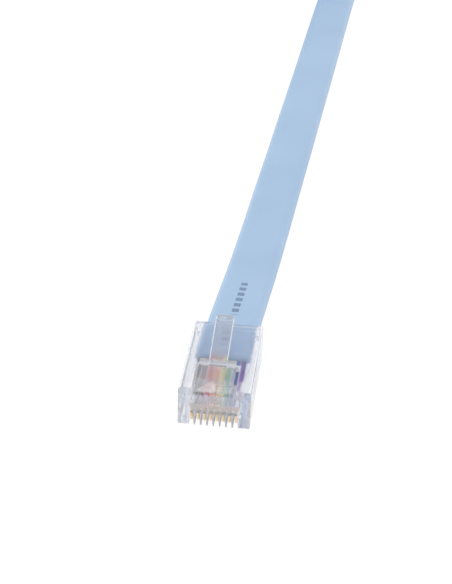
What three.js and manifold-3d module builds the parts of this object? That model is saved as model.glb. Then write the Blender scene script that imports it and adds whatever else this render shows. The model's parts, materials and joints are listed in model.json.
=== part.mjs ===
import * as THREE from 'three';
import { mergeVertices } from 'three/addons/utils/BufferGeometryUtils.js';
import Module from 'manifold-3d';

const wasm = await Module();
wasm.setup();

// A flat eight-conductor console cable with a clear modular plug on each end.
// Millimetres, X across the plug, +Y from its nose to its cable end, +Z up to its latch.
// The origin is under the middle of the first plug, on the surface that the cable lies on.

// Plug housing, one clear moulding with its latch
const plugWidth = 11.68;
const plugLength = 21.46;
const plugHeight = 6.6;
const edgeChamfer = 0.22;
const noseTopChamfer = 0.85;
const noseBottomChamfer = 0.3;
const noseCornerChamfer = 0.5;
const noseWall = 0.7;
const noseDimpleRadius = 0.26;
const noseDimpleDepth = 0.8;
const noseDimpleAboveWires = 1.5;

// Latch
const latchAngle = THREE.MathUtils.degToRad(8.9);
const latchSkew = THREE.MathUtils.degToRad(0.7);
const latchOffset = -0.2;
const latchThickness = 1.1;
const latchWideWidth = 6.1;
const latchShoulderFromNose = 7.65;
const latchHandleWidth = 3.05;
const latchHandleCorner = 0.55;
const latchLength = 19.1;
const latchRootLength = 2.4;
const latchRidgeLength = 1.5;
const latchRidgeHeight = 0.25;
const latchReliefDepth = 1.0;
const latchSideGap = 0.45;
const latchReliefPastShoulder = 0.7;

// Contacts
const contactCount = 8;
const contactPitch = 1.016;
const contactThickness = 0.35;
const contactSlotWidth = 0.5;
const contactSlotMouth = 0.82;
const contactSlotFlareHeight = 1.8;
const contactRecess = 0.58;
const contactBladeHeight = 1.8;
const contactFromNose = 0.35;
const contactLength = 6.1;
const contactFrontRadius = 0.8;
const contactEndClearance = 0.12;
const toothCount = 3;
const toothPitch = 1.75;
const toothWidth = 0.8;
const toothPastCentre = 0.15;
const toothClearance = 0.03;

// Conductors
const conductorDiameter = 0.92;
const conductorClearance = 0.07;
const conductorSideClearance = 0.015;
const conductorSides = 10;
const conductorSteps = 8;
const conductorHeight = 3.45;
const channelLength = 6.4;
const channelTopWidth = 0.54;
const bayHalfHeight = 0.85;
const baySideGap = 0.25;

// Cable
const cableWidth = 9.2;
const cableThickness = 2.6;
const cableCornerSides = 3;
const cableHeightInPlug = 3.3;
const jacketInPlug = 9.4;
const jacketClearance = 0.25;
const jacketMouthLength = 1.8;
const jacketMouthRise = 0.5;
const conductorGap = 0.3;
const clampFromRear = 3.7;
const clampLength = 3.4;
const clampWidth = 7.2;
const clampWeb = 0.45;
const wireClampFromNose = 8.3;
const wireClampLength = 1.5;
const wireClampWidth = 8.0;

// Route of the stretch that isn't coiled: x, y, z and the turn of the flat section in degrees
const runRoute = [
  [0, 1.33, 3.3, 0],
  [0, 6, 3.3, 0],
  [0.1, 10.9, 3.3, 0],
  [0.38, 16, 3.2, 0],
  [0.85, 25, 2.7, 0],
  [1.5, 38, 1.8, 0],
  [2.3, 54, 1.36, 0],
  [3.2, 72, 1.34, 0],
  [4.15, 90, 1.34, 0],
  [5.15, 110, 1.34, 0],
  [6.2, 130, 1.34, 0],
  [7.2, 150, 1.34, 0],
  [8.2, 170, 1.34, 0],
  [9.15, 187, 1.34, 0],
  [9.55, 191, 1.9, 9],
  [10.1, 195.5, 3.1, 31],
  [10.65, 201, 4.4, 60],
  [11.15, 206.5, 5.3, 82],
  [11.48, 211.7, 5.5, 90],
];
const runSteps = 78;

// Hank of the length that is put away: wound on edge, pinched at its tie
const hankTurns = 3;
const turnPitch = 3.25;
const loopRadius = 18.4;
const neckRadius = 36;
const neckStraight = 18;
const neckHalfGap = 2;
const hankStart = [11.5, 212];
const hankArcPoints = 14;
const hankMargin = 0.1;
const holeStartPastNeck = 12;

// Tie and far plug
const tieWidth = 4;
const tieThickness = 0.6;
const tieCorner = 0.8;
const tieTwistLength = 11;
const tieTwistWidth = 2.2;
const tieTwistHeight = 1.1;
const touchGap = 0.3;
const farPlugPastNeck = 58;
const tailStraightAfterHole = 3;
const tailSteps = 14;

const noseY = -plugLength / 2;
const rearY = plugLength / 2;

// Materials
const clearPolycarbonate = new THREE.MeshStandardMaterial({ color: 0xe4e6ec, roughness: 0.12, metalness: 0 });
clearPolycarbonate.transparent = true;
clearPolycarbonate.opacity = 0.35;
const goldPlate = new THREE.MeshStandardMaterial({ color: 0xd9a441, roughness: 0.3, metalness: 1 });
const jacketVinyl = new THREE.MeshStandardMaterial({ color: 0xa9c4e1, roughness: 0.55, metalness: 0 });
const tieVinyl = new THREE.MeshStandardMaterial({ color: 0x2b2d30, roughness: 0.6, metalness: 0 });
const conductorColors = [
  ['black', 0x2e2a2c],
  ['brown', 0x6b4436],
  ['red', 0xc23a3a],
  ['orange', 0xe8803a],
  ['yellow', 0xe3c64a],
  ['green', 0x3f9a5f],
  ['blue', 0x3b5aa8],
  ['violet', 0x6a4391],
];

// Turns a closed geometry into a solid for a boolean
function solidOf(geometry) {
  const plain = geometry.clone();
  plain.deleteAttribute('normal');
  plain.deleteAttribute('uv');
  const merged = mergeVertices(plain, 1e-4);
  const vertProperties = new Float32Array(merged.attributes.position.array);
  const triVerts = new Uint32Array(merged.index.array);
  return new wasm.Manifold(new wasm.Mesh({ numProp: 3, vertProperties, triVerts }));
}

// Turns a solid back into a geometry
function geometryOf(solid) {
  const mesh = solid.getMesh();
  const geometry = new THREE.BufferGeometry();
  geometry.setAttribute('position', new THREE.BufferAttribute(new Float32Array(mesh.vertProperties), 3));
  geometry.setIndex(new THREE.BufferAttribute(new Uint32Array(mesh.triVerts), 1));
  return geometry;
}

function cutFrom(solid, cuts) {
  return cuts.reduce((rest, cut) => rest.subtract(cut), solid);
}

function shapeOf(points) {
  return new THREE.Shape(points.map(([u, v]) => new THREE.Vector2(u, v)));
}

// A plan outline in X and Y, extruded up Z
function upZ(points, z0, z1) {
  const geometry = new THREE.ExtrudeGeometry(shapeOf(points), { depth: z1 - z0, bevelEnabled: false });
  return geometry.translate(0, 0, z0);
}

// A side outline in Y and Z, extruded across X
function acrossX(points, x0, x1) {
  const geometry = new THREE.ExtrudeGeometry(shapeOf(points), { depth: x1 - x0, bevelEnabled: false });
  const turn = new THREE.Matrix4().makeBasis(
    new THREE.Vector3(0, 1, 0),
    new THREE.Vector3(0, 0, 1),
    new THREE.Vector3(1, 0, 0),
  );
  return geometry.applyMatrix4(turn).translate(x0, 0, 0);
}

// A front outline in X and Z, extruded along Y
function alongY(points, y0, y1) {
  const geometry = new THREE.ExtrudeGeometry(shapeOf(points), { depth: y1 - y0, bevelEnabled: false });
  const turn = new THREE.Matrix4().makeBasis(
    new THREE.Vector3(1, 0, 0),
    new THREE.Vector3(0, 0, 1),
    new THREE.Vector3(0, -1, 0),
  );
  return geometry.applyMatrix4(turn).translate(0, y1, 0);
}

function boxOf(x0, x1, y0, y1, z0, z1) {
  const geometry = new THREE.BoxGeometry(x1 - x0, y1 - y0, z1 - z0);
  return geometry.translate((x0 + x1) / 2, (y0 + y1) / 2, (z0 + z1) / 2);
}

// A rectangle in the outline plane whose four corners are cut at 45 degrees
function chamferedRectangle(u0, u1, v0, v1, cut) {
  return [
    [u0 + cut, v0], [u1 - cut, v0], [u1, v0 + cut], [u1, v1 - cut],
    [u1 - cut, v1], [u0 + cut, v1], [u0, v1 - cut], [u0, v0 + cut],
  ];
}

// A circle in the outline plane, with a flat facet facing down
function roundOutline(u, v, radius, sides) {
  return Array.from({ length: sides }, (_, i) => {
    const angle = ((i + 0.5) * 2 * Math.PI) / sides;
    return [u + radius * Math.sin(angle), v - radius * Math.cos(angle)];
  });
}

function contactX(index) {
  return (index - (contactCount - 1) / 2) * contactPitch;
}

// Body of the housing before its hollows are cut
function bodyBlock() {
  const halfWidth = plugWidth / 2;
  const front = alongY(chamferedRectangle(-halfWidth, halfWidth, 0, plugHeight, edgeChamfer), noseY, rearY);
  const plan = [
    [-halfWidth + noseCornerChamfer, noseY], [halfWidth - noseCornerChamfer, noseY],
    [halfWidth, noseY + noseCornerChamfer], [halfWidth, rearY],
    [-halfWidth, rearY], [-halfWidth, noseY + noseCornerChamfer],
  ];
  const side = [
    [noseY, noseBottomChamfer], [noseY + noseBottomChamfer, 0], [rearY, 0],
    [rearY, plugHeight], [noseY + noseTopChamfer, plugHeight], [noseY, plugHeight - noseTopChamfer],
  ];
  return solidOf(front)
    .intersect(solidOf(upZ(plan, 0, plugHeight)))
    .intersect(solidOf(acrossX(side, -halfWidth, halfWidth)));
}

// Latch: a wide root strip with shoulders, then a narrow handle, rising from the nose.
// It stands slightly to one side, as in the photo.
function latchSolid() {
  const rise = Math.tan(latchAngle);
  const topAt = (y) => plugHeight + rise * (y - noseY);
  const endY = noseY + latchLength;
  const shoulderY = noseY + latchShoulderFromNose;
  const ridgeY = shoulderY - latchRidgeLength;
  const rootY = noseY + latchRootLength;
  const strip = [
    [noseY, plugHeight - latchReliefDepth - latchThickness],
    [rootY, plugHeight - latchReliefDepth - latchThickness],
    [rootY, topAt(rootY) - latchThickness],
    [endY, topAt(endY) - latchThickness],
    [endY, topAt(endY)],
    [shoulderY, topAt(shoulderY)],
    [shoulderY, topAt(shoulderY) + latchRidgeHeight],
    [ridgeY + latchRidgeHeight, topAt(ridgeY + latchRidgeHeight) + latchRidgeHeight],
    [ridgeY, topAt(ridgeY)],
    [noseY, topAt(noseY)],
  ];
  const wide = latchWideWidth / 2;
  const narrow = latchHandleWidth / 2;
  const plan = [
    [-wide, noseY], [wide, noseY], [wide, shoulderY], [narrow, shoulderY],
    [narrow, endY - latchHandleCorner], [narrow - latchHandleCorner, endY],
    [-narrow + latchHandleCorner, endY], [-narrow, endY - latchHandleCorner],
    [-narrow, shoulderY], [-wide, shoulderY],
  ];
  const outline = upZ(plan, 0, 2 * plugHeight);
  outline.translate(latchOffset, -noseY, 0).rotateZ(latchSkew).translate(0, noseY, 0);
  return solidOf(acrossX(strip, -plugWidth / 2, plugWidth / 2)).intersect(solidOf(outline));
}

// Slot of one contact: open below with a flared mouth, and up into its conductor's channel
function contactSlot(index) {
  const x = contactX(index);
  const half = contactSlotWidth / 2;
  const mouth = contactSlotMouth / 2;
  const contactTop = contactRecess + contactBladeHeight;
  const bladeEnd = noseY + contactFromNose + contactLength + contactEndClearance;
  const profile = [
    [x - mouth, -1], [x + mouth, -1], [x + mouth, 0], [x + half, contactSlotFlareHeight],
    [x + half, contactTop + contactEndClearance], [x - half, contactTop + contactEndClearance],
    [x - half, contactSlotFlareHeight], [x - mouth, 0],
  ];
  const blade = alongY(profile, noseY - 1, bladeEnd);
  const teeth = boxOf(x - half, x + half, noseY + noseWall, bladeEnd, contactTop, conductorHeight);
  return solidOf(blade).add(solidOf(teeth));
}

// Section of one conductor's channel: flat on top and below, its side webs thin
function channelOutline(x) {
  const top = channelTopWidth / 2;
  const side = conductorDiameter / 2 + conductorSideClearance;
  const rise = conductorDiameter / 2 + conductorClearance;
  const shoulder = rise / 2;
  return [
    [x + top, conductorHeight - rise], [x + side, conductorHeight - shoulder],
    [x + side, conductorHeight + shoulder], [x + top, conductorHeight + rise],
    [x - top, conductorHeight + rise], [x - side, conductorHeight + shoulder],
    [x - side, conductorHeight - shoulder], [x - top, conductorHeight - rise],
  ];
}

// Hollows that hold the conductors and the jacket
function wireHollows() {
  const channelEnd = noseY + noseWall + channelLength;
  const jacketFront = rearY - jacketInPlug;
  const channels = Array.from({ length: contactCount }, (_, i) => {
    return solidOf(alongY(channelOutline(contactX(i)), noseY + noseWall, channelEnd + 1));
  });
  const bayHalf = contactX(contactCount - 1) + conductorDiameter / 2 + baySideGap;
  const bay = boxOf(
    -bayHalf, bayHalf, channelEnd, jacketFront,
    conductorHeight - bayHalfHeight, conductorHeight + bayHalfHeight,
  );
  const jacketSpace = (clearance, start) => {
    const half = cableWidth / 2 + clearance;
    const rise = cableThickness / 2 + clearance;
    const outline = chamferedRectangle(
      -half, half, cableHeightInPlug - rise, cableHeightInPlug + rise, cableThickness / 4,
    );
    return solidOf(alongY(outline, start, rearY + 1));
  };
  const cavity = jacketSpace(jacketClearance, jacketFront - conductorGap);
  const mouth = jacketSpace(jacketClearance + jacketMouthRise, rearY - jacketMouthLength);
  return [...channels, solidOf(bay), cavity, mouth];
}

// Pockets under the two clamp bars, which are crimped in from below
function clampPockets() {
  const jacketFloor = cableHeightInPlug - cableThickness / 2 - jacketClearance;
  const clampEnd = rearY - clampFromRear;
  const clampStart = clampEnd - clampLength;
  const jacketClamp = [
    [clampStart, -1], [clampEnd, -1], [clampEnd, clampWeb],
    [clampStart + clampWeb, jacketFloor - clampWeb], [clampStart, jacketFloor - clampWeb],
  ];
  const wireFloor = conductorHeight - bayHalfHeight;
  const wireStart = noseY + wireClampFromNose;
  const wireEnd = wireStart + wireClampLength;
  const wireClamp = [
    [wireStart, -1], [wireEnd, -1], [wireEnd, clampWeb],
    [wireStart + clampWeb, wireFloor - clampWeb], [wireStart, wireFloor - clampWeb],
  ];
  return [
    solidOf(acrossX(jacketClamp, -clampWidth / 2, clampWidth / 2)),
    solidOf(acrossX(wireClamp, -wireClampWidth / 2, wireClampWidth / 2)),
  ];
}

// Two small dimples in the front face, above the outer conductors
function noseDimples() {
  return [contactX(0), contactX(contactCount - 1)].map((x) => {
    const outline = roundOutline(x, conductorHeight + noseDimpleAboveWires, noseDimpleRadius, 8);
    return solidOf(alongY(outline, noseY - 1, noseY + noseDimpleDepth));
  });
}

// Relief in the body's top face, which the latch bends down into
function latchRelief() {
  const half = latchWideWidth / 2 + latchSideGap;
  const end = noseY + latchShoulderFromNose + latchReliefPastShoulder;
  const relief = boxOf(
    latchOffset - half, latchOffset + half,
    noseY + latchRootLength, end, plugHeight - latchReliefDepth, plugHeight + 1,
  );
  return solidOf(relief);
}

function housingGeometry() {
  const slots = Array.from({ length: contactCount }, (_, i) => contactSlot(i));
  const body = cutFrom(bodyBlock(), [latchRelief()]).add(latchSolid());
  return geometryOf(cutFrom(body, [...slots, ...wireHollows(), ...clampPockets(), ...noseDimples()]));
}

function toothCentres() {
  const middle = noseY + contactFromNose + contactLength / 2;
  return Array.from({ length: toothCount }, (_, i) => middle + (i - (toothCount - 1) / 2) * toothPitch);
}

// One contact blade with its piercing teeth
function contactGeometry(index) {
  const x = contactX(index);
  const front = noseY + contactFromNose;
  const back = front + contactLength;
  const top = contactRecess + contactBladeHeight;
  const tip = conductorHeight + toothPastCentre;
  const corner = Array.from({ length: 4 }, (_, i) => {
    const angle = (i * Math.PI) / 6;
    return [
      front + contactFrontRadius * (1 - Math.cos(angle)),
      contactRecess + contactFrontRadius * (1 - Math.sin(angle)),
    ];
  });
  const teeth = toothCentres().reverse().flatMap((y) => [
    [y + toothWidth / 2, top], [y + toothWidth / 6, tip], [y - toothWidth / 6, tip], [y - toothWidth / 2, top],
  ]);
  const outline = [...corner, [back, contactRecess], [back, top], ...teeth, [front, top]];
  return acrossX(outline, x - contactThickness / 2, x + contactThickness / 2);
}

// One conductor, from the jacket's front to the nose wall, slit where the teeth pierce it
function conductorGeometry(index) {
  const x = contactX(index);
  const start = rearY - jacketInPlug - conductorGap;
  const end = noseY + noseWall + conductorClearance;
  const radius = conductorDiameter / 2;
  const length = start - end;
  const outline = shapeOf(roundOutline(0, 0, radius, conductorSides));
  const straight = new THREE.ExtrudeGeometry(outline, { depth: 1, steps: conductorSteps, bevelEnabled: false });
  const path = (share) => {
    const fromJacket = Math.min(1, (share * length) / (length - channelLength));
    const blend = fromJacket * fromJacket * (3 - 2 * fromJacket);
    const height = cableHeightInPlug + (conductorHeight - cableHeightInPlug) * blend;
    return {
      point: new THREE.Vector3(x, start - share * length, height),
      across: new THREE.Vector3(1, 0, 0),
      up: new THREE.Vector3(0, 0, 1),
    };
  };
  const wire = solidOf(bentAlong(straight, path));
  const half = contactThickness / 2 + toothClearance;
  const slits = toothCentres().map((y) => {
    const reach = toothWidth / 2 + toothClearance;
    const tip = conductorHeight + toothPastCentre + toothClearance;
    return solidOf(boxOf(x - half, x + half, y - reach, y + reach, conductorHeight - 2 * radius, tip));
  });
  return geometryOf(cutFrom(wire, slits));
}

// Bends a straight extrusion of depth 1 along a path that gives a point and two section axes
function bentAlong(geometry, path) {
  const position = geometry.attributes.position;
  const vertex = new THREE.Vector3();
  for (let i = 0; i < position.count; i += 1) {
    vertex.fromBufferAttribute(position, i);
    const { point, across, up } = path(vertex.z);
    const bent = point.clone().addScaledVector(across, vertex.x).addScaledVector(up, vertex.y);
    position.setXYZ(i, bent.x, bent.y, bent.z);
  }
  return geometry;
}

// Section of the flat cable: 12 corners, with rounded edges
function cableSection() {
  const radius = cableThickness / 2;
  const flat = cableWidth / 2 - radius;
  const side = (sign) => Array.from({ length: 2 * cableCornerSides }, (_, i) => {
    const angle = -Math.PI / 2 + (i * Math.PI) / (2 * cableCornerSides - 1);
    return [sign * (flat + radius * Math.cos(angle)), sign * radius * Math.sin(angle)];
  });
  return shapeOf([...side(1), ...side(-1)]);
}

// Flat cable along a route of points with a turn of the section at each
function flatCable(route, steps) {
  const curve = new THREE.CatmullRomCurve3(route.map(([x, y, z]) => new THREE.Vector3(x, y, z)), false, 'centripetal');
  const turns = route.map((row) => THREE.MathUtils.degToRad(row[3]));
  const straight = new THREE.ExtrudeGeometry(cableSection(), { depth: 1, steps, bevelEnabled: false });
  const path = (share) => {
    const at = share * (route.length - 1);
    const before = Math.min(route.length - 2, Math.floor(at));
    const turn = THREE.MathUtils.lerp(turns[before], turns[before + 1], at - before);
    const tangent = curve.getTangent(share);
    const level = new THREE.Vector3(-tangent.y, tangent.x, 0).normalize();
    const upright = new THREE.Vector3().crossVectors(tangent, level).normalize();
    const across = level.clone().multiplyScalar(Math.cos(turn)).addScaledVector(upright, Math.sin(turn));
    const up = upright.clone().multiplyScalar(Math.cos(turn)).addScaledVector(level, -Math.sin(turn));
    return { point: curve.getPoint(share), across, up };
  };
  return bentAlong(straight, path);
}

// Sizes of the hank's base curve, one quarter of its innermost turn
const neckAngle = Math.acos((neckHalfGap + neckRadius) / (neckRadius + loopRadius));
const neckArc = neckRadius * neckAngle;
const loopArc = loopRadius * (Math.PI / 2 + neckAngle);
const quarterLength = neckStraight + neckArc + loopArc;
const turnLength = 4 * quarterLength;
const loopCentreY = neckStraight + Math.sqrt((neckRadius + loopRadius) ** 2 - (neckHalfGap + neckRadius) ** 2);
const widestAt = neckStraight + neckArc + loopRadius * neckAngle;
const startTurnsLeft = hankTurns + widestAt / turnLength;
const hankCentre = [
  hankStart[0] - loopRadius - turnPitch * startTurnsLeft,
  hankStart[1] + loopCentreY,
];
const hankLift = tieThickness + touchGap;
const hankHeight = hankLift + cableWidth / 2;

// A point of the quarter, along it from the neck's middle, moved outward by an offset
function quarterPoint(along, offset) {
  if (along <= neckStraight) return [neckHalfGap + offset, along];
  if (along <= neckStraight + neckArc) {
    const angle = Math.PI - (along - neckStraight) / neckRadius;
    const radius = neckRadius - offset;
    return [neckHalfGap + neckRadius + radius * Math.cos(angle), neckStraight + radius * Math.sin(angle)];
  }
  const angle = (along - neckStraight - neckArc) / loopRadius - neckAngle;
  const radius = loopRadius + offset;
  return [radius * Math.cos(angle), loopCentreY + radius * Math.sin(angle)];
}

// A point of the whole turn, anticlockwise from the right side of the neck
function turnPoint(along, offset) {
  const inTurn = ((along % turnLength) + turnLength) % turnLength;
  const quarter = Math.min(3, Math.floor(inTurn / quarterLength));
  const rest = inTurn - quarter * quarterLength;
  const [x, y] = quarterPoint(quarter % 2 === 0 ? rest : quarterLength - rest, offset);
  const signX = quarter === 0 || quarter === 3 ? 1 : -1;
  const signY = quarter < 2 ? 1 : -1;
  return [hankCentre[0] + signX * x, hankCentre[1] + signY * y];
}

// Closed outer shape of the hank, whose last turn leaves a step where the run joins it
function hankGeometry() {
  const skin = cableThickness / 2 + hankMargin;
  const count = 8 * hankArcPoints;
  const outer = Array.from({ length: count + 1 }, (_, i) => {
    const along = -widestAt + (i * turnLength) / count;
    const turnsLeft = hankTurns - along / turnLength;
    return turnPoint(along, turnPitch * turnsLeft + skin);
  });
  const shape = shapeOf(outer);
  const hole = (startAlong, endAlong, offset) => {
    const steps = 3 * hankArcPoints;
    const points = Array.from({ length: steps + 1 }, (_, i) => {
      const [x, y] = turnPoint(startAlong + ((endAlong - startAlong) * i) / steps, offset);
      return new THREE.Vector2(x, y);
    });
    return new THREE.Path(points);
  };
  const farStart = neckStraight + holeStartPastNeck;
  const farOffset = turnPitch / 2 - skin;
  shape.holes.push(hole(farStart, 2 * quarterLength - farStart, farOffset));
  shape.holes.push(hole(2 * quarterLength + farStart, turnLength - farStart, -skin));
  const geometry = new THREE.ExtrudeGeometry(shape, { depth: cableWidth, bevelEnabled: false });
  return geometryOf(solidOf(geometry.translate(0, 0, hankLift)));
}

// Route of the tail, from the innermost turn's end to the far plug
function tailRoute() {
  const x = hankCentre[0] + neckHalfGap;
  const start = hankCentre[1] + neckStraight + holeStartPastNeck + touchGap;
  const plugRear = hankCentre[1] + farPlugPastNeck - rearY;
  const twistEnd = plugRear - tailStraightAfterHole;
  const twistStart = start + tailStraightAfterHole;
  const twistMiddle = (twistStart + twistEnd) / 2;
  const middleHeight = (hankHeight + cableHeightInPlug) / 2;
  return [
    [x, start, hankHeight, 90],
    [x, twistStart, hankHeight, 88],
    [x, twistMiddle, middleHeight, 45],
    [x, twistEnd, cableHeightInPlug, 2],
    [x, plugRear, cableHeightInPlug, 0],
    [x, plugRear + jacketInPlug, cableHeightInPlug, 0],
  ];
}

// Twist tie round the hank's neck, its two ends twisted together on top
function tieGeometry() {
  const skin = cableThickness / 2 + hankMargin + touchGap;
  const right = neckHalfGap + turnPitch * hankTurns + skin;
  const left = -(neckHalfGap + turnPitch * (hankTurns - 0.5) + skin);
  const bottom = hankLift - touchGap;
  const top = hankLift + cableWidth + touchGap;
  const outer = chamferedRectangle(
    left - tieThickness, right + tieThickness, bottom - tieThickness, top + tieThickness, tieCorner,
  );
  const inner = chamferedRectangle(left, right, bottom, top, tieCorner - tieThickness);
  const band = solidOf(alongY(outer, -tieWidth / 2, tieWidth / 2))
    .subtract(solidOf(alongY(inner, -tieWidth, tieWidth)));
  const twistShape = shapeOf(chamferedRectangle(
    -tieTwistWidth / 2, tieTwistWidth / 2, -tieTwistHeight / 2, tieTwistHeight / 2, tieTwistHeight / 4,
  ));
  const twist = new THREE.ExtrudeGeometry(twistShape, { depth: 1, steps: 8, bevelEnabled: false });
  const twistHeight = top + tieTwistHeight / 2 + tieThickness / 2;
  const path = (share) => ({
    point: new THREE.Vector3(0, -tieWidth / 4 + share * tieTwistLength, twistHeight),
    across: new THREE.Vector3(-1, 0, 0),
    up: new THREE.Vector3(0, 0, 1),
  });
  const ends = solidOf(bentAlong(twist, path));
  return geometryOf(band.add(ends));
}

const group = new THREE.Group();

function addMesh(parent, name, geometry, material) {
  const mesh = new THREE.Mesh(geometry, material);
  mesh.name = name;
  parent.add(mesh);
}

// All the pieces of one plug, in a group that is placed as a whole
function addPlug(prefix, colors) {
  const plug = new THREE.Group();
  addMesh(plug, `${prefix}_housing`, housingGeometry(), clearPolycarbonate);
  for (let i = 0; i < contactCount; i += 1) {
    addMesh(plug, `${prefix}_contact_${i + 1}`, contactGeometry(i), goldPlate);
    const [name, color] = colors[i];
    const insulation = new THREE.MeshStandardMaterial({ color, roughness: 0.45, metalness: 0 });
    addMesh(plug, `${prefix}_conductor_${name}`, conductorGeometry(i), insulation);
  }
  group.add(plug);
  return plug;
}

addPlug('plug', conductorColors);
const farPlug = addPlug('far_plug', [...conductorColors].reverse());
farPlug.rotation.z = Math.PI;
farPlug.position.set(hankCentre[0] + neckHalfGap, hankCentre[1] + farPlugPastNeck, 0);

addMesh(group, 'cable_run', flatCable(runRoute, runSteps), jacketVinyl);
addMesh(group, 'cable_hank', hankGeometry(), jacketVinyl);
addMesh(group, 'cable_tail', flatCable(tailRoute(), tailSteps), jacketVinyl);

const tie = new THREE.Group();
addMesh(tie, 'twist_tie', tieGeometry(), tieVinyl);
tie.position.set(hankCentre[0], hankCentre[1], 0);
group.add(tie);

export default group;
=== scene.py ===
import json
import math

import bmesh
import bpy
from mathutils import Matrix, Vector


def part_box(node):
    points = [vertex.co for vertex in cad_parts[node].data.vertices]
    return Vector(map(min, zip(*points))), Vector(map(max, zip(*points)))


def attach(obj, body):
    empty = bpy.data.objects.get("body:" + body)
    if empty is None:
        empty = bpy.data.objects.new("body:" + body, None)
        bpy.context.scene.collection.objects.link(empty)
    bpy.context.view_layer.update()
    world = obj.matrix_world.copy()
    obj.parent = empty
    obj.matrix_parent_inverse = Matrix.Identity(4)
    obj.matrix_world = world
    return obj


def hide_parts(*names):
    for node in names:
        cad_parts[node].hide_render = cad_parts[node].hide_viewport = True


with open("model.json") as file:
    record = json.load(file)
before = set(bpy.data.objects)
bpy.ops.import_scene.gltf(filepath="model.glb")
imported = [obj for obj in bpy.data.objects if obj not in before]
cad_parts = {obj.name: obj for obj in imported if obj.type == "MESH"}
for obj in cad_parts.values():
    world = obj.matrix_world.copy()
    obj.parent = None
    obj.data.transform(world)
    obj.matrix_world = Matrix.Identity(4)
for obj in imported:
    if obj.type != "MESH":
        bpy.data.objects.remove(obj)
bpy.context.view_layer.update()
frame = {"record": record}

# Flat console cable with a clear modular plug on each end.
# Metres, X across the plug, +Y from its nose to its cable end, +Z up to its latch.
mm = 0.001
scene = bpy.context.scene
vinylIor = 1.53
mergeDistance = 0.001 * mm


def linearColor(code, alpha=1.0):
    # sRGB hex to the linear values that Blender's sockets hold
    channels = [int(code[i:i + 2], 16) / 255 for i in (1, 3, 5)]
    linear = [c / 12.92 if c <= 0.04045 else ((c + 0.055) / 1.055) ** 2.4 for c in channels]
    return (*linear, alpha)


def addNode(tree, kind, settings=None, inputs=None):
    # settings are the node's own fields; an input is a value, or a socket to link from
    node = tree.nodes.new(kind)
    for name, value in (settings or {}).items():
        setattr(node, name, value)
    for name, value in (inputs or {}).items():
        if isinstance(value, bpy.types.NodeSocket):
            tree.links.new(value, node.inputs[name])
        else:
            node.inputs[name].default_value = value
    return node


def newMaterial(name, shaderInputs):
    # a Principled material; returns its tree and shader too, so that detail can be linked in
    material = bpy.data.materials.new(name)
    material.use_nodes = True
    tree = material.node_tree
    tree.nodes.clear()
    shader = addNode(tree, "ShaderNodeBsdfPrincipled", inputs=shaderInputs)
    addNode(tree, "ShaderNodeOutputMaterial", inputs={"Surface": shader.outputs["BSDF"]})
    return material, tree, shader


def colorRamp(tree, factor, stops):
    ramp = addNode(tree, "ShaderNodeValToRGB", inputs={"Fac": factor})
    elements = ramp.color_ramp.elements
    while len(elements) < len(stops):
        elements.new(0.5)
    for element, (position, color) in zip(elements, stops):
        element.position = position
        element.color = color
    return ramp


def meshObject(name, vertices, faces, material, smooth=True):
    mesh = bpy.data.meshes.new(name)
    mesh.from_pydata(vertices, [], faces)
    mesh.materials.append(material)
    if smooth:
        mesh.shade_smooth()
    piece = bpy.data.objects.new(name, mesh)
    scene.collection.objects.link(piece)
    return piece


# Camera, at the photograph's angle: fitted to the plug's corners and comb
cameraSettings = {
    "azimuth": 5.297,
    "elevation": 30.207,
    "roll": 2.145,
    "place": (21.9 * mm, -233.43 * mm, 155.35 * mm),
    "focalPixels": 1700,
    "imageWidth": 452,
    "sensorWidth": 36,
}


def makeCamera(s):
    azimuth, elevation, roll = (math.radians(s[k]) for k in ("azimuth", "elevation", "roll"))
    back = Vector((
        math.sin(azimuth) * math.cos(elevation),
        -math.cos(azimuth) * math.cos(elevation),
        math.sin(elevation),
    ))
    level = Vector((0, 0, 1)).cross(back).normalized()
    upright = back.cross(level)
    right = math.cos(roll) * level + math.sin(roll) * upright
    up = math.cos(roll) * upright - math.sin(roll) * level
    data = bpy.data.cameras.new("camera")
    data.sensor_fit = "HORIZONTAL"
    data.sensor_width = s["sensorWidth"]
    data.lens = s["focalPixels"] / s["imageWidth"] * s["sensorWidth"]
    data.clip_start = 0.005
    camera = bpy.data.objects.new("camera", data)
    axes = Matrix((right, up, back)).transposed().to_4x4()
    camera.matrix_world = Matrix.Translation(s["place"]) @ axes
    scene.collection.objects.link(camera)
    scene.camera = camera


makeCamera(cameraSettings)
print("camera placed")


# Jacket: flexible PVC, extruded and cooled in water, so it is satin with faint draw lines.
# Its ink marks are plain dashes, sprayed on as the cable ran.
jacketLook = {
    "color": "#A8C4E0",
    "deep": "#A1BDDA",
    "ink": "#4A6A8A",
    "roughness": 0.46,
    "softness": 0.08,
    "softDepth": 0.8 * mm,
    "grain": 0.35 * mm,
    "drawLine": 0.5 * mm,
    "drawLength": 30 * mm,
    "cloud": 18 * mm,
    "bump": 0.16,
    "bumpDepth": 0.05 * mm,
    "markRows": ((2.6 * mm, 8.4 * mm), (15.8 * mm, 28.4 * mm)),
    "markRepeat": 600 * mm,
    "markPitch": 2.1 * mm,
    "markLength": 0.6,
    "markAcross": 0.25 * mm,
    "markHalf": 0.6 * mm,
    "inkCover": 0.35,
    "inkGrain": 0.7,
}


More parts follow.
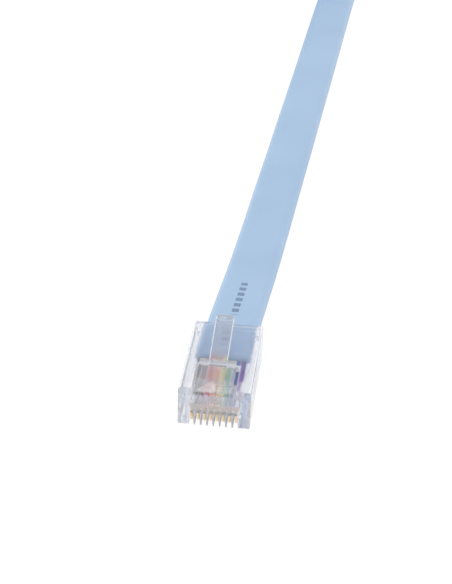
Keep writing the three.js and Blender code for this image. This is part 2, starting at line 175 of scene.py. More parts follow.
def jacketMaterial(s):
    material, tree, shader = newMaterial("extrudedVinylJacket", {
        "Roughness": s["roughness"],
        "IOR": vinylIor,
        "Subsurface Weight": s["softness"],
        "Subsurface Radius": (0.6, 0.8, 1.0),
        "Subsurface Scale": s["softDepth"],
    })
    uv = addNode(tree, "ShaderNodeUVMap", {"uv_map": "alongCable"}).outputs["UV"]
    parts = addNode(tree, "ShaderNodeSeparateXYZ", inputs={"Vector": uv})
    across, along = parts.outputs["X"], parts.outputs["Y"]

    def combine(kind, a, b):
        return addNode(tree, "ShaderNodeMath", {"operation": kind}, {0: a, 1: b}).outputs[0]

    # faint draw lines run along the cable: noise that is stretched along its length
    stretched = addNode(tree, "ShaderNodeCombineXYZ", inputs={
        "X": combine("DIVIDE", across, s["drawLine"]),
        "Y": combine("DIVIDE", along, s["drawLength"]),
    })
    lines = addNode(tree, "ShaderNodeTexNoise", inputs={
        "Vector": stretched.outputs[0], "Scale": 1.0, "Detail": 3.0, "Roughness": 0.55,
    })
    position = addNode(tree, "ShaderNodeTexCoord").outputs["Object"]
    grain = addNode(tree, "ShaderNodeTexNoise", inputs={
        "Vector": position, "Scale": 1 / s["grain"], "Detail": 2.0, "Roughness": 0.6,
    })
    cloudy = addNode(tree, "ShaderNodeTexNoise", inputs={
        "Vector": position, "Scale": 1 / s["cloud"], "Detail": 2.0,
    })
    tint = colorRamp(tree, cloudy.outputs["Fac"], [
        (0.3, linearColor(s["deep"])), (0.7, linearColor(s["color"])),
    ])
    # ink dashes in two rows that come again along the cable, on the upper face only
    phase = combine("FRACT", combine("DIVIDE", along, s["markPitch"]), 0.0)
    dash = combine("LESS_THAN", phase, s["markLength"])
    offset = combine("ABSOLUTE", combine("SUBTRACT", across, s["markAcross"]), 0.0)
    inRow = combine("LESS_THAN", offset, s["markHalf"])
    place = combine("MODULO", along, s["markRepeat"])
    rows = [
        combine("MULTIPLY", combine("GREATER_THAN", place, start), combine("LESS_THAN", place, end))
        for start, end in s["markRows"]
    ]
    ink = combine("MULTIPLY", combine("MULTIPLY", dash, inRow), combine("ADD", *rows))
    cover = combine("ADD", combine("MULTIPLY", grain.outputs["Fac"], s["inkGrain"]), s["inkCover"])
    worn = combine("MULTIPLY", ink, cover)
    color = addNode(tree, "ShaderNodeMix", {"data_type": "RGBA"}, {
        "Factor": worn, 6: tint.outputs["Color"], 7: linearColor(s["ink"]),
    })
    tree.links.new(color.outputs[2], shader.inputs["Base Color"])
    height = combine("ADD", combine("MULTIPLY", lines.outputs["Fac"], 0.8), grain.outputs["Fac"])
    bump = addNode(tree, "ShaderNodeBump", inputs={
        "Strength": s["bump"], "Distance": s["bumpDepth"], "Height": height,
    })
    tree.links.new(bump.outputs["Normal"], shader.inputs["Normal"])
    return material


# The cable: its route, its hank and its tail, one flat section swept along the whole path
cable = {
    "width": 9.2,
    "thickness": 2.6,
    "heightInPlug": 3.3,
    "jacketInPlug": 9.4,
    "length": 1.5,
    # x, y, z and the turn of the flat section in degrees, as in the CAD source
    "run": [
        (0, 1.33, 3.3, 0), (0, 6, 3.3, 0), (0.1, 10.9, 3.3, 0), (0.38, 16, 3.2, 0),
        (0.85, 25, 2.7, 0), (1.5, 38, 1.8, 0), (2.3, 54, 1.36, 0), (3.2, 72, 1.34, 0),
        (4.15, 90, 1.34, 0), (5.15, 110, 1.34, 0), (6.2, 130, 1.34, 0), (7.2, 150, 1.34, 0),
        (8.2, 170, 1.34, 0), (9.15, 187, 1.34, 0), (9.55, 191, 1.9, 9), (10.1, 195.5, 3.1, 31),
        (10.65, 201, 4.4, 60), (11.15, 206.5, 5.3, 82), (11.48, 211.7, 5.5, 90),
    ],
    "hankTurns": 3,
    "turnPitch": 3.25,
    "loopRadius": 18.4,
    "neckRadius": 36,
    "neckStraight": 18,
    "neckHalfGap": 2,
    "hankStart": (11.5, 212),
    "hankHeight": 5.5,
    "pointsPerTurn": 96,
    "holeStartPastNeck": 12,
    "touchGap": 0.3,
    "farPlugPastNeck": 58,
    "tailStraightAfterHole": 3,
    "plugRear": 10.73,
    "tailOverlap": 8,
    "sampleStep": 1.6,
    "edgeSteps": 8,
    "faceSteps": 8,
}


def hankShape(s):
    # sizes of the hank's base curve, one quarter of its innermost turn
    neck, loop, gap = s["neckRadius"], s["loopRadius"], s["neckHalfGap"]
    angle = math.acos((gap + neck) / (neck + loop))
    quarter = s["neckStraight"] + neck * angle + loop * (math.pi / 2 + angle)
    loopCentre = s["neckStraight"] + math.sqrt((neck + loop) ** 2 - (gap + neck) ** 2)
    widest = s["neckStraight"] + neck * angle + loop * angle
    startTurns = s["hankTurns"] + widest / (4 * quarter)
    return {
        "angle": angle,
        "quarter": quarter,
        "loopCentre": loopCentre,
        "widest": widest,
        "centre": (
            s["hankStart"][0] - loop - s["turnPitch"] * startTurns,
            s["hankStart"][1] + loopCentre,
        ),
    }


def hankPoint(s, h, along, offset):
    # a point of the hank: how far along the base curve, and how far outside it
    inTurn = along % (4 * h["quarter"])
    quarter = min(3, int(inTurn / h["quarter"]))
    rest = inTurn - quarter * h["quarter"]
    if quarter % 2:
        rest = h["quarter"] - rest
    neckArc = s["neckRadius"] * h["angle"]
    if rest <= s["neckStraight"]:
        x, y = s["neckHalfGap"] + offset, rest
    elif rest <= s["neckStraight"] + neckArc:
        angle = math.pi - (rest - s["neckStraight"]) / s["neckRadius"]
        radius = s["neckRadius"] - offset
        x = s["neckHalfGap"] + s["neckRadius"] + radius * math.cos(angle)
        y = s["neckStraight"] + radius * math.sin(angle)
    else:
        angle = (rest - s["neckStraight"] - neckArc) / s["loopRadius"] - h["angle"]
        radius = s["loopRadius"] + offset
        x, y = radius * math.cos(angle), h["loopCentre"] + radius * math.sin(angle)
    x *= 1 if quarter in (0, 3) else -1
    y *= 1 if quarter < 2 else -1
    return h["centre"][0] + x, h["centre"][1] + y


def cableRoute(s):
    # rows of x, y, z and turn in millimetres and degrees, from one plug to the other
    h = hankShape(s)
    turn = 4 * h["quarter"]
    rows = list(s["run"])
    count = int(s["pointsPerTurn"] * (s["hankTurns"] + h["widest"] / turn))
    for i in range(count + 1):
        along = -h["widest"] + i * (s["hankTurns"] * turn + h["widest"]) / count
        x, y = hankPoint(s, h, along, s["turnPitch"] * (s["hankTurns"] - along / turn))
        rows.append((x, y, s["hankHeight"], 90))
    x = h["centre"][0] + s["neckHalfGap"]
    start = h["centre"][1] + s["neckStraight"] + s["holeStartPastNeck"] + s["touchGap"]
    plugRear = h["centre"][1] + s["farPlugPastNeck"] - s["plugRear"]
    twistStart = start + s["tailStraightAfterHole"]
    twistEnd = plugRear - s["tailStraightAfterHole"]
    middleHeight = (s["hankHeight"] + s["heightInPlug"]) / 2
    rows += [
        (x, start - s["tailOverlap"], s["hankHeight"], 90),
        (x, start, s["hankHeight"], 90),
        (x, twistStart, s["hankHeight"], 88),
        (x, (twistStart + twistEnd) / 2, middleHeight, 45),
        (x, twistEnd, s["heightInPlug"], 2),
        (x, plugRear, s["heightInPlug"], 0),
        (x, plugRear + s["jacketInPlug"], s["heightInPlug"], 0),
    ]
    return rows


def smoothPath(rows, step):
    # centripetal Catmull-Rom through the rows, sampled about every step millimetres
    points = [Vector(row[:3]) for row in rows]
    points = [2 * points[0] - points[1]] + points + [2 * points[-1] - points[-2]]
    turns = [row[3] for row in rows]
    samples = []
    for i in range(len(rows) - 1):
        p0, p1, p2, p3 = points[i:i + 4]
        t1 = (p1 - p0).length ** 0.5
        t2 = t1 + (p2 - p1).length ** 0.5
        t3 = t2 + (p3 - p2).length ** 0.5
        count = max(1, round((p2 - p1).length / step))
        for k in range(count):
            t = t1 + (t2 - t1) * k / count
            a1 = p0 * ((t1 - t) / t1) + p1 * (t / t1)
            a2 = p1 * ((t2 - t) / (t2 - t1)) + p2 * ((t - t1) / (t2 - t1))
            a3 = p2 * ((t3 - t) / (t3 - t2)) + p3 * ((t - t2) / (t3 - t2))
            b1 = a1 * ((t2 - t) / t2) + a2 * (t / t2)
            b2 = a2 * ((t3 - t) / (t3 - t1)) + a3 * ((t - t1) / (t3 - t1))
            point = b1 * ((t2 - t) / (t2 - t1)) + b2 * ((t - t1) / (t2 - t1))
            samples.append((point, math.radians(turns[i] + (turns[i + 1] - turns[i]) * k / count)))
    samples.append((points[-2], math.radians(turns[-1])))
    return samples


def flatSection(width, thickness, edgeSteps, faceSteps):
    # outline of the flat cable, anticlockwise, with full-round edges
    radius = thickness / 2
    flat = width / 2 - radius
    outline = []
    for side in (1, -1):
        for i in range(edgeSteps + 1):
            angle = -math.pi / 2 + math.pi * i / edgeSteps
            outline.append((side * (flat + radius * math.cos(angle)), side * radius * math.sin(angle)))
        for i in range(1, faceSteps):
            outline.append((side * flat * (1 - 2 * i / faceSteps), side * radius))
    return outline


def makeCable(s, material):
    samples = smoothPath(cableRoute(s), s["sampleStep"])
    outline = flatSection(s["width"], s["thickness"], s["edgeSteps"], s["faceSteps"])
    vertices, faces, alongAt, acrossAt = [], [], [], []
    # the lower face gets a place across that is far from the ink marks
    unmarked = 4 * s["width"]
    travelled = 0
    last = samples[0][0]
    for i, (point, turn) in enumerate(samples):
        before = samples[max(0, i - 1)][0]
        after = samples[min(len(samples) - 1, i + 1)][0]
        tangent = (after - before).normalized()
        level = Vector((-tangent.y, tangent.x, 0)).normalized()
        upright = tangent.cross(level).normalized()
        across = math.cos(turn) * level + math.sin(turn) * upright
        up = math.cos(turn) * upright - math.sin(turn) * level
        travelled += (point - last).length
        last = point
        for u, v in outline:
            vertices.append((point + across * u + up * v) * mm)
            alongAt.append(travelled * mm)
            acrossAt.append((u if v >= 0 else unmarked) * mm)
    ring = len(outline)
    for i in range(len(samples) - 1):
        for k in range(ring):
            a, b = i * ring + k, i * ring + (k + 1) % ring
            faces.append((a, b, b + ring, a + ring))
    faces.append(tuple(reversed(range(ring))))
    faces.append(tuple(range(len(vertices) - ring, len(vertices))))
    piece = meshObject("flat_cable", vertices, faces, material)
    layer = piece.data.uv_layers.new(name="alongCable")
    for loop in piece.data.loops:
        layer.data[loop.index].uv = (acrossAt[loop.vertex_index], alongAt[loop.vertex_index])
    print("cable length", round(travelled * mm, 4))
    return piece, [tuple(point * mm) for point, turn in samples]


jacket = jacketMaterial(jacketLook)
cablePiece, cablePath = makeCable(cable, jacket)
print("cable made")


# Clear housing: injection-moulded polycarbonate, glossy, very slightly grey in thick walls.
# straight is the share of light that passes each face unbent. The distances from the nose say
# where the pressed finish starts and where the edges and faces painted white as a highlight are.
clearLook = {
    "color": "#EEEFF3",
    "roughness": 0.05,
    "ior": 1.585,
    "shade": "#FBFBFD",
    "clarity": 0.93,
    "straight": 0.2,
    "straightPressed": 0.9,
    # painted reflection: the white, partly diffuse finish of the nose's channels
    "paintedReflectionColor": "#FFFFFF",
    "paintedReflectionClarity": 0.6,
    "straightPaintedReflection": 0.1,
    "flow": 2.2 * mm,
    "flowBump": 0.12,
    "flowDepth": 0.08 * mm,
    "edgeRound": 0.13 * mm,
    "shortestRounded": 1.2 * mm,
    "hollowDepth": 0.5 * mm,
    "hollowTop": 5.45 * mm,
    "pressedBottom": 1.7 * mm,
    "pressedFromNose": 5.4 * mm,
    # painted highlight: where the latch's shoulder and end faces are painted white
    "paintedHighlightFaces": ((7.2 * mm, 8.4 * mm), (18.4 * mm, 20.2 * mm)),
    "paintedHighlightFacesFrom": 5.7 * mm,
    "paintedHighlightFacing": 0.7,
    "paintedHighlightFromNose": 7.4 * mm,
    # painted highlight: the white that the rounded edges and the latch's faces are painted
    "paintedHighlightColor": "#FFFFFF",
    "edgeRoughness": (0.2, 0.4),
    "edgeClarity": 0.3,
}


def clearMaterial(name, s, color, clarity, straight):
    material, tree, shader = newMaterial(name, {
        "Base Color": linearColor(color),
        "Roughness": s["roughness"],
        "IOR": s["ior"],
        "Transmission Weight": clarity,
    })
    place = addNode(tree, "ShaderNodeTexCoord").outputs["Object"]
    flow = addNode(tree, "ShaderNodeTexNoise", inputs={
        "Vector": place, "Scale": 1 / s["flow"], "Detail": 2.0, "Roughness": 0.5,
    })
    bump = addNode(tree, "ShaderNodeBump", inputs={
        "Strength": s["flowBump"], "Distance": s["flowDepth"], "Height": flow.outputs["Fac"],
    })
    tree.links.new(bump.outputs["Normal"], shader.inputs["Normal"])
    # lamps shine through it, so that what is inside is as bright as what is outside, and a
    # part of what is seen passes straight, which keeps light from being caught in thin walls
    isShadow = addNode(tree, "ShaderNodeLightPath").outputs["Is Shadow Ray"]
    share = addNode(tree, "ShaderNodeMath", {"operation": "MAXIMUM"}, {0: isShadow, 1: straight})
    through = addNode(tree, "ShaderNodeBsdfTransparent", inputs={"Color": linearColor(s["shade"])})
    surface = addNode(tree, "ShaderNodeMixShader", inputs={
        0: share.outputs[0], 1: shader.outputs["BSDF"], 2: through.outputs["BSDF"],
    })
    output = next(node for node in tree.nodes if node.type == "OUTPUT_MATERIAL")
    tree.links.new(surface.outputs[0], output.inputs["Surface"])
    return material


def paintedHighlightEdgeMaterial(s):
    # painted highlight: the moulding's rounded edges are painted white and mostly diffuse, so they read as
    # the thin white lines that light makes on the real edges
    material, tree, shader = newMaterial("clearPolycarbonatePaintedHighlight", {
        "Base Color": linearColor(s["paintedHighlightColor"]),
        "IOR": s["ior"],
        "Transmission Weight": s["edgeClarity"],
    })
    place = addNode(tree, "ShaderNodeTexCoord").outputs["Object"]
    flow = addNode(tree, "ShaderNodeTexNoise", inputs={
        "Vector": place, "Scale": 1 / s["flow"], "Detail": 2.0, "Roughness": 0.5,
    })
    haze = addNode(tree, "ShaderNodeMapRange", inputs={
        "Value": flow.outputs["Fac"], "To Min": s["edgeRoughness"][0], "To Max": s["edgeRoughness"][1],
    })
    tree.links.new(haze.outputs["Result"], shader.inputs["Roughness"])
    return material


# Contacts: phosphor bronze strip, stamped and gold plated over nickel
goldLook = {
    "color": "#EBD6B4",
    "rubbed": "#DBBE92",
    "roughness": 0.3,
    "grain": 0.25 * mm,
    "patch": 1 * mm,
    "bump": 0.2,
    "bumpDepth": 0.01 * mm,
    "edgeRound": 0.035 * mm,
    "shortestRounded": 0.3 * mm,
}


def goldMaterial(s):
    material, tree, shader = newMaterial("stampedGoldPlate", {
        "Metallic": 1.0,
        "Roughness": s["roughness"],
    })
    place = addNode(tree, "ShaderNodeTexCoord").outputs["Object"]
    patches = addNode(tree, "ShaderNodeTexNoise", inputs={
        "Vector": place, "Scale": 1 / s["patch"], "Detail": 3.0,
    })
    tint = colorRamp(tree, patches.outputs["Fac"], [
        (0.35, linearColor(s["rubbed"])), (0.62, linearColor(s["color"])),
    ])
    tree.links.new(tint.outputs["Color"], shader.inputs["Base Color"])
    grain = addNode(tree, "ShaderNodeTexNoise", inputs={
        "Vector": place, "Scale": 1 / s["grain"], "Detail": 2.0,
    })
    bump = addNode(tree, "ShaderNodeBump", inputs={
        "Strength": s["bump"], "Distance": s["bumpDepth"], "Height": grain.outputs["Fac"],
    })
    tree.links.new(bump.outputs["Normal"], shader.inputs["Normal"])
    return material


# Conductor insulation: thin extruded PVC in the eight colours, glossy and slightly waxy
insulationLook = {
    "roughness": 0.36,
    "softness": 0.1,
    "softDepth": 0.3 * mm,
    "streakWidth": 0.3 * mm,
    "streakLength": 5 * mm,
    "bump": 0.2,
    "bumpDepth": 0.02 * mm,
}
insulationColors = {
    "black": ("#352E2F", "#262122"),
    "brown": ("#7C4632", "#603624"),
    "red": ("#E8524C", "#CC403C"),
    "orange": ("#FFB070", "#F89A54"),
    "yellow": ("#FFEE88", "#F6DC66"),
    "green": ("#52BE7A", "#40A466"),
    "blue": ("#4164C4", "#3250A8"),
    "violet": ("#7C4CB2", "#643C98"),
}


def insulationMaterial(s, name, light, deep):
    material, tree, shader = newMaterial("extrudedInsulation_" + name, {
        "Roughness": s["roughness"],
        "IOR": vinylIor,
        "Subsurface Weight": s["softness"],
        "Subsurface Scale": s["softDepth"],
    })
    place = addNode(tree, "ShaderNodeTexCoord").outputs["Object"]
    streaks = addNode(tree, "ShaderNodeMapping", inputs={
        "Vector": place,
        "Scale": (1 / s["streakWidth"], 1 / s["streakLength"], 1 / s["streakWidth"]),
    })
    noise = addNode(tree, "ShaderNodeTexNoise", inputs={
        "Vector": streaks.outputs["Vector"], "Scale": 1.0, "Detail": 2.0,
    })
    tint = colorRamp(tree, noise.outputs["Fac"], [
        (0.35, linearColor(deep)), (0.65, linearColor(light)),
    ])
    tree.links.new(tint.outputs["Color"], shader.inputs["Base Color"])
    bump = addNode(tree, "ShaderNodeBump", inputs={
        "Strength": s["bump"], "Distance": s["bumpDepth"], "Height": noise.outputs["Fac"],
    })
    tree.links.new(bump.outputs["Normal"], shader.inputs["Normal"])
    return material


# Cut end of a stranded conductor: a bundle of bare copper strands, pale where the cutter wiped them.
# A face is a cut end when it lies this squarely across the cable.
squareToCable = 0.9
cutEndLook = {
    "color": "#F3DCC9",
    "deep": "#DDB79C",
    "metal": 0.25,
    "roughness": 0.42,
    "strand": 0.16 * mm,
    "bump": 0.3,
    "bumpDepth": 0.03 * mm,
}


def cutEndMaterial(s):
    material, tree, shader = newMaterial("cutCopperStrands", {
        "Metallic": s["metal"],
        "Roughness": s["roughness"],
    })
    place = addNode(tree, "ShaderNodeTexCoord").outputs["Object"]
    strands = addNode(tree, "ShaderNodeTexVoronoi", inputs={"Vector": place, "Scale": 1 / s["strand"]})
    tint = colorRamp(tree, strands.outputs["Distance"], [
        (0.25, linearColor(s["color"])), (0.6, linearColor(s["deep"])),
    ])
    tree.links.new(tint.outputs["Color"], shader.inputs["Base Color"])
    bump = addNode(tree, "ShaderNodeBump", {"invert": True}, {
        "Strength": s["bump"], "Distance": s["bumpDepth"], "Height": strands.outputs["Distance"],
    })
    tree.links.new(bump.outputs["Normal"], shader.inputs["Normal"])
    return material


def inHollow(points, low, high, s):
    # true for points of the hollows inside a housing, whose edges the mould's core pins leave sharp
    depth = s["hollowDepth"]
    return all(
        low[0] + depth < x < high[0] - depth
        and low[1] + depth < y < high[1] - depth
        and low[2] + depth < z < s["hollowTop"]
        for x, y, z in points
    )


def finishHousing(shell, low, high, noseY, s):
    # the hollows' faces get the pressed finish, or in the nose the milky one, a painted reflection, and the
    # latch's shoulder and end faces, which mirror the light as its edges do, the white painted highlight
    inward = 1 if noseY < (low[1] + high[1]) / 2 else -1
    for face in shell.faces:
        face.tag = face.material_index == 0 and inHollow([face.calc_center_median()], low, high, s)
    cut = [face for face in shell.faces if face.tag]
    cut += [edge for edge in shell.edges if any(face.tag for face in edge.link_faces)]
    cut += [vertex for vertex in shell.verts if any(face.tag for face in vertex.link_faces)]
    bmesh.ops.bisect_plane(
        shell, geom=cut, dist=0.1 * mergeDistance,
        plane_co=(0, noseY + inward * s["pressedFromNose"], 0), plane_no=(0, 1, 0),
    )
    # the cut leaves its new parts in any order, so they are sorted by place
    order = Vector((1, 1000, 1000000))
    shell.verts.sort(key=lambda vertex: vertex.co.dot(order))
    shell.faces.sort(key=lambda face: face.calc_center_median().dot(order))
    for face in shell.faces:
        middle = face.calc_center_median()
        fromNose = abs(middle.y - noseY)
        if face.material_index or middle.z < s["pressedBottom"]:
            continue
        # hollow faces near the nose get the milky painted reflection, the others the pressed finish
        if inHollow([middle], low, high, s):
            face.material_index = 2 if fromNose > s["pressedFromNose"] else 3
        # the latch's shoulder and end faces that face along the plug are painted white as a highlight
        elif abs(face.normal.y) > s["paintedHighlightFacing"] and middle.z > s["paintedHighlightFacesFrom"]:
            face.material_index = 1 if any(a < fromNose < b for a, b in s["paintedHighlightFaces"]) else 0


def finishedCopy(node, materials, edgeRound, shortest, sharpAngle=40, noseY=None):
    # a merged copy of a CAD solid that stands for it: its longer sharp edges are rounded, as a
    # mould or a stamping tool leaves them, and a solid without such edges is shaded smooth.
    # A housing is given its nose's place and four materials: outer, white painted highlight, pressed, and
    # milky painted reflection.
    # A conductor has two, insulation and cut end.
    low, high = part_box(node)
    isHousing = noseY is not None
    shell = bmesh.new()
    shell.from_mesh(bpy.data.objects[node].data)
    bmesh.ops.remove_doubles(shell, verts=shell.verts, dist=mergeDistance)
    sharp = [
        edge for edge in shell.edges
        if len(edge.link_faces) == 2
        and edge.calc_face_angle(0) > math.radians(sharpAngle)
        and edge.calc_length() > shortest
        and not (isHousing and inHollow([vertex.co for vertex in edge.verts], low, high, clearLook))
    ]
    if edgeRound:
        rounded = bmesh.ops.bevel(
            shell, geom=sharp, offset=edgeRound, segments=2, profile=0.5, affect="EDGES",
            clamp_overlap=False,
        )
        # past the latch's root a housing's rounded edges get the white painted highlight
        for face in rounded["faces"]:
            fromNose = abs(face.calc_center_median().y - noseY) if isHousing else 0
            face.material_index = 1 if fromNose > clearLook["paintedHighlightFromNose"] else 0
    mesh = bpy.data.meshes.new(node + "_finished")
    for material in materials:
        mesh.materials.append(material)
    if isHousing:
        finishHousing(shell, low, high, noseY, clearLook)
    elif len(materials) > 1:
        for face in shell.faces:
            face.material_index = 1 if abs(face.normal.y) > squareToCable else 0
    shell.to_mesh(mesh)
    shell.free()
    if not edgeRound:
        mesh.shade_smooth()
        mesh.set_sharp_from_angle(angle=math.radians(sharpAngle))
    piece = bpy.data.objects.new(node + "_finished", mesh)
    scene.collection.objects.link(piece)
    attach(piece, "root")
    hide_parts(node)
    return piece


clear = clearMaterial(
    "clearMouldedPolycarbonate", clearLook, clearLook["color"], clearLook["clarity"], clearLook["straight"],
)
# where the wires and the jacket are pressed on the moulding there is no air, and next to no gloss
clearPressed = clearMaterial(
    "clearPolycarbonatePressed", clearLook, clearLook["color"], clearLook["clarity"],
    clearLook["straightPressed"],
)
# painted reflection: the wires' channels in the nose are partly white and diffuse, standing in for light
# reflected inside the nose, so they look milky
clearPaintedReflection = clearMaterial(
    "clearPolycarbonatePaintedReflection", clearLook, clearLook["paintedReflectionColor"], clearLook["paintedReflectionClarity"],
    clearLook["straightPaintedReflection"],
)
# the white painted highlight for the housings' rounded edges and the latch's shoulder and end faces
paintedHighlightEdge = paintedHighlightEdgeMaterial(clearLook)
gold = goldMaterial(goldLook)
insulations = {
    name: insulationMaterial(insulationLook, name, light, deep)
    for name, (light, deep) in insulationColors.items()
}
cutEnd = cutEndMaterial(cutEndLook)
noseAt = {
    mount["name"][:-len("_nose")]: mount["pos_m"][1]
    for mount in frame["record"]["mounts"] if mount["name"].endswith("_nose")
}
for plug in ("plug", "far_plug"):
    pieces = [finishedCopy(
        plug + "_housing", (clear, paintedHighlightEdge, clearPressed, clearPaintedReflection),
        clearLook["edgeRound"], clearLook["shortestRounded"], noseY=noseAt[plug],
    )]
    for i in range(len(insulations)):
        pieces.append(finishedCopy(
            f"{plug}_contact_{i + 1}", (gold,),
            goldLook["edgeRound"], goldLook["shortestRounded"],
        ))
    for name, insulation in insulations.items():
        pieces.append(finishedCopy(
            f"{plug}_conductor_{name}", (insulation, cutEnd), 0, 0, sharpAngle=50,
        ))
print("plugs finished")


# Tie: steel wire in a ribbon of soft black PVC, put once round the neck and twisted on top.
# The wire shows as a ridge along the ribbon's middle. Sizes in millimetres.
tie = {
    "color": "#2B2D30",
    "rubbed": "#3D4044",
    "roughness": 0.5,
    "grain": 0.3 * mm,
    "left": -11.825,
    "right": 13.45,
    "bottom": 0.6,
    "top": 10.4,
    "ribbonWidth": 4,
    "ribbonThickness": 0.34,
    "wireThickness": 0.6,
    "ribbonBevel": 0.15,
    "wireFlank": 0.25,
    "wireFoot": 0.5,
    "cornerRadius": 1.1,
    "cornerSteps": 6,
    "twistStart": -1,
    "twistLength": 11,
    "twistWidth": 2.1,
    "twistThickness": 0.8,
    "twistTurns": 3.25,
    "twistHeight": 11.45,
    "twistSteps": 60,
    "bump": 0.25,
    "bumpDepth": 0.02 * mm,
}


def tieMaterial(s):
    material, tree, shader = newMaterial("extrudedVinylTie", {
        "Roughness": s["roughness"],
        "IOR": vinylIor,
    })
    position = addNode(tree, "ShaderNodeTexCoord").outputs["Object"]
    grain = addNode(tree, "ShaderNodeTexNoise", inputs={
        "Vector": position, "Scale": 1 / s["grain"], "Detail": 3.0,
    })
    worn = addNode(tree, "ShaderNodeTexNoise", inputs={
        "Vector": position, "Scale": 1 / (10 * s["grain"]), "Detail": 2.0,
    })
    tint = colorRamp(tree, worn.outputs["Fac"], [
        (0.4, linearColor(s["color"])), (0.75, linearColor(s["rubbed"])),
    ])
    tree.links.new(tint.outputs["Color"], shader.inputs["Base Color"])
    bump = addNode(tree, "ShaderNodeBump", inputs={
        "Strength": s["bump"], "Distance": s["bumpDepth"], "Height": grain.outputs["Fac"],
    })
    tree.links.new(bump.outputs["Normal"], shader.inputs["Normal"])
    return material


def ribbonProfile(s):
    # half outline of the ribbon: place across its width, and half its thickness there
    half, flat, wire = s["ribbonWidth"] / 2, s["ribbonThickness"] / 2, s["wireThickness"] / 2
    left = [
        (-half, 0.4 * flat), (-half + s["ribbonBevel"], flat), (-s["wireFoot"], flat),
        (-s["wireFlank"], 0.9 * wire),
    ]
    return left + [(0, wire)] + [(-across, rise) for across, rise in reversed(left)]


def tieBand(s, centre):
    # the ribbon's loop round the neck, in the plane across it
    middle = s["wireThickness"] / 2
    radius = s["cornerRadius"]
    sides = (s["left"] - middle, s["right"] + middle, s["bottom"] - middle, s["top"] + middle)
    corners = [
        (sides[1] - radius, sides[3] - radius, 0), (sides[0] + radius, sides[3] - radius, 90),
        (sides[0] + radius, sides[2] + radius, 180), (sides[1] - radius, sides[2] + radius, 270),
    ]
    loop = []
    for x, z, start in corners:
        for i in range(s["cornerSteps"] + 1):
            angle = math.radians(start + i * 90 / s["cornerSteps"])
            outward = (math.cos(angle), math.sin(angle))
            loop.append((x + radius * outward[0], z + radius * outward[1], outward))
    profile = ribbonProfile(s)
    outline = profile + [(across, -rise) for across, rise in reversed(profile)]
    vertices, faces = [], []
    for x, z, outward in loop:
        for across, rise in outline:
            vertices.append((
                (centre[0] + x + outward[0] * rise) * mm,
                (centre[1] + across) * mm,
                (z + outward[1] * rise) * mm,
            ))
    ring = len(outline)
    for i in range(len(loop)):
        for k in range(ring):
            a, b = i * ring + k, i * ring + (k + 1) % ring
            c, d = (i + 1) % len(loop) * ring + (k + 1) % ring, (i + 1) % len(loop) * ring + k
            faces.append((a, b, c, d))
    return vertices, faces


def twistTree(material, steps):
    # the ribbon's two ends, laid together, that turn about the line they follow
    tree = bpy.data.node_groups.new("twistedEnds", "GeometryNodeTree")
    face = tree.interface
    for name, kind in (
        ("Start", "NodeSocketVector"), ("End", "NodeSocketVector"), ("Width", "NodeSocketFloat"),
        ("Thickness", "NodeSocketFloat"), ("Turns", "NodeSocketFloat"),
    ):
        face.new_socket(name, in_out="INPUT", socket_type=kind)
    face.new_socket("Geometry", in_out="OUTPUT", socket_type="NodeSocketGeometry")
    given = addNode(tree, "NodeGroupInput").outputs
    line = addNode(tree, "GeometryNodeCurvePrimitiveLine", inputs={
        "Start": given["Start"], "End": given["End"],
    })
    fine = addNode(tree, "GeometryNodeResampleCurve", inputs={"Curve": line.outputs[0], "Count": steps})
    along = addNode(tree, "GeometryNodeSplineParameter").outputs["Factor"]
    fullTurns = addNode(tree, "ShaderNodeMath", {"operation": "MULTIPLY"}, {0: given["Turns"], 1: math.tau})
    tilt = addNode(tree, "ShaderNodeMath", {"operation": "MULTIPLY"}, {0: along, 1: fullTurns.outputs[0]})
    turned = addNode(tree, "GeometryNodeSetCurveTilt", inputs={
        "Curve": fine.outputs[0], "Tilt": tilt.outputs[0],
    })
    outline = addNode(tree, "GeometryNodeCurvePrimitiveQuadrilateral", inputs={
        "Width": given["Width"], "Height": given["Thickness"],
    })
    radius = addNode(tree, "ShaderNodeMath", {"operation": "MULTIPLY"}, {0: given["Thickness"], 1: 0.4})
    soft = addNode(tree, "GeometryNodeFilletCurve", {"mode": "POLY"}, {
        "Curve": outline.outputs[0], "Radius": radius.outputs[0], "Count": 3,
    })
    swept = addNode(tree, "GeometryNodeCurveToMesh", inputs={
        "Curve": turned.outputs[0], "Profile Curve": soft.outputs[0], "Fill Caps": True,
    })
    real = addNode(tree, "GeometryNodeRealizeInstances", inputs={"Geometry": swept.outputs[0]})
    finish = addNode(tree, "GeometryNodeSetMaterial", inputs={
        "Geometry": real.outputs[0], "Material": material,
    })
    addNode(tree, "NodeGroupOutput", inputs={"Geometry": finish.outputs[0]})
    return tree


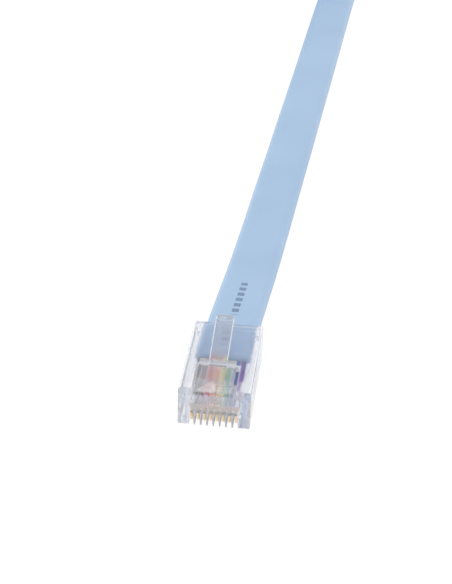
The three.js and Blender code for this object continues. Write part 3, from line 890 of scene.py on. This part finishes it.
def makeTie(s, centre):
    material = tieMaterial(s)
    tree = twistTree(material, s["twistSteps"])
    maker = bpy.data.objects.new("twistMaker", bpy.data.meshes.new("twistMaker"))
    scene.collection.objects.link(maker)
    modifier = maker.modifiers.new("twist", "NODES")
    modifier.node_group = tree
    values = {
        "Start": (centre[0] * mm, (centre[1] + s["twistStart"]) * mm, s["twistHeight"] * mm),
        "End": (
            centre[0] * mm, (centre[1] + s["twistStart"] + s["twistLength"]) * mm, s["twistHeight"] * mm,
        ),
        "Width": s["twistWidth"] * mm,
        "Thickness": s["twistThickness"] * mm,
        "Turns": s["twistTurns"],
    }
    for item in tree.interface.items_tree:
        if item.in_out == "INPUT":
            modifier[item.identifier] = values[item.name]
    evaluated = maker.evaluated_get(bpy.context.evaluated_depsgraph_get())
    twist = bpy.data.meshes.new_from_object(evaluated)
    maker.modifiers.clear()
    bpy.data.objects.remove(maker)
    vertices, faces = tieBand(s, centre)
    offset = len(vertices)
    vertices += [tuple(vertex.co) for vertex in twist.vertices]
    faces += [tuple(offset + i for i in polygon.vertices) for polygon in twist.polygons]
    piece = meshObject("twisted_ribbon_tie", vertices, faces, material)
    shell = bmesh.new()
    shell.from_mesh(piece.data)
    bmesh.ops.remove_doubles(shell, verts=shell.verts, dist=mergeDistance)
    bmesh.ops.recalc_face_normals(shell, faces=shell.faces)
    shell.to_mesh(piece.data)
    shell.free()
    piece.data.set_sharp_from_angle(angle=math.radians(50))
    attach(piece, "root")
    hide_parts("twist_tie")
    return piece


tiePiece = makeTie(tie, hankShape(cable)["centre"])
print("tie made")

# Stage: white floor that glows as a light table does, and soft light from above, left and behind
stageLook = {
    "floorSize": 4.0,
    "floor": "#5A5A5A",
    "floorGlow": 0.93,
    "floorDrop": 0.02 * mm,
    "world": "#F4F5F8",
    "worldStrength": 0.85,
}
# each softbox: its place, what it points at, its size in metres and its power in watts; the
# long low strip behind is there for the clear plug's rounded edges to mirror
softboxes = {
    "overheadSoftbox": ((0, 0.1, 0.7), (0, 0.1, 0), (0.3, 0.3), 0.9),
    "leftSoftbox": ((-0.5, -0.1, 0.35), (0, 0.03, 0), (0.3, 0.5), 0.4),
    "backStrip": ((0, 1.1, 0.1), (0, 0, 0.05), (2.2, 0.2), 1.5),
}


def makeStage(s):
    floorMaterial, tree, shader = newMaterial("whitePaperFloor", {
        "Base Color": linearColor(s["floor"]),
        "Roughness": 0.9,
        "Emission Color": linearColor("#FFFFFF"),
        "Emission Strength": s["floorGlow"],
    })
    half = s["floorSize"] / 2
    corners = [(-half, -half, 0), (half, -half, 0), (half, half, 0), (-half, half, 0)]
    floor = meshObject("floor", corners, [(0, 1, 2, 3)], floorMaterial, smooth=False)
    floor.location.z = -s["floorDrop"]
    world = bpy.data.worlds.new("studio")
    world.use_nodes = True
    background = world.node_tree.nodes["Background"]
    background.inputs["Color"].default_value = linearColor(s["world"])
    background.inputs["Strength"].default_value = s["worldStrength"]
    scene.world = world
    scene.view_settings.view_transform = "Standard"


def softbox(name, place, target, size, power):
    data = bpy.data.lights.new(name, "AREA")
    data.shape = "RECTANGLE"
    data.size, data.size_y = size
    data.energy = power
    light = bpy.data.objects.new(name, data)
    light.visible_camera = False
    light.location = place
    light.rotation_euler = (Vector(place) - Vector(target)).to_track_quat("Z", "Y").to_euler()
    scene.collection.objects.link(light)


makeStage(stageLook)
for name, (place, target, size, power) in softboxes.items():
    softbox(name, place, target, size, power)
print("stage made")

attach(cablePiece, "root")
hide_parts("cable_run", "cable_hank", "cable_tail")
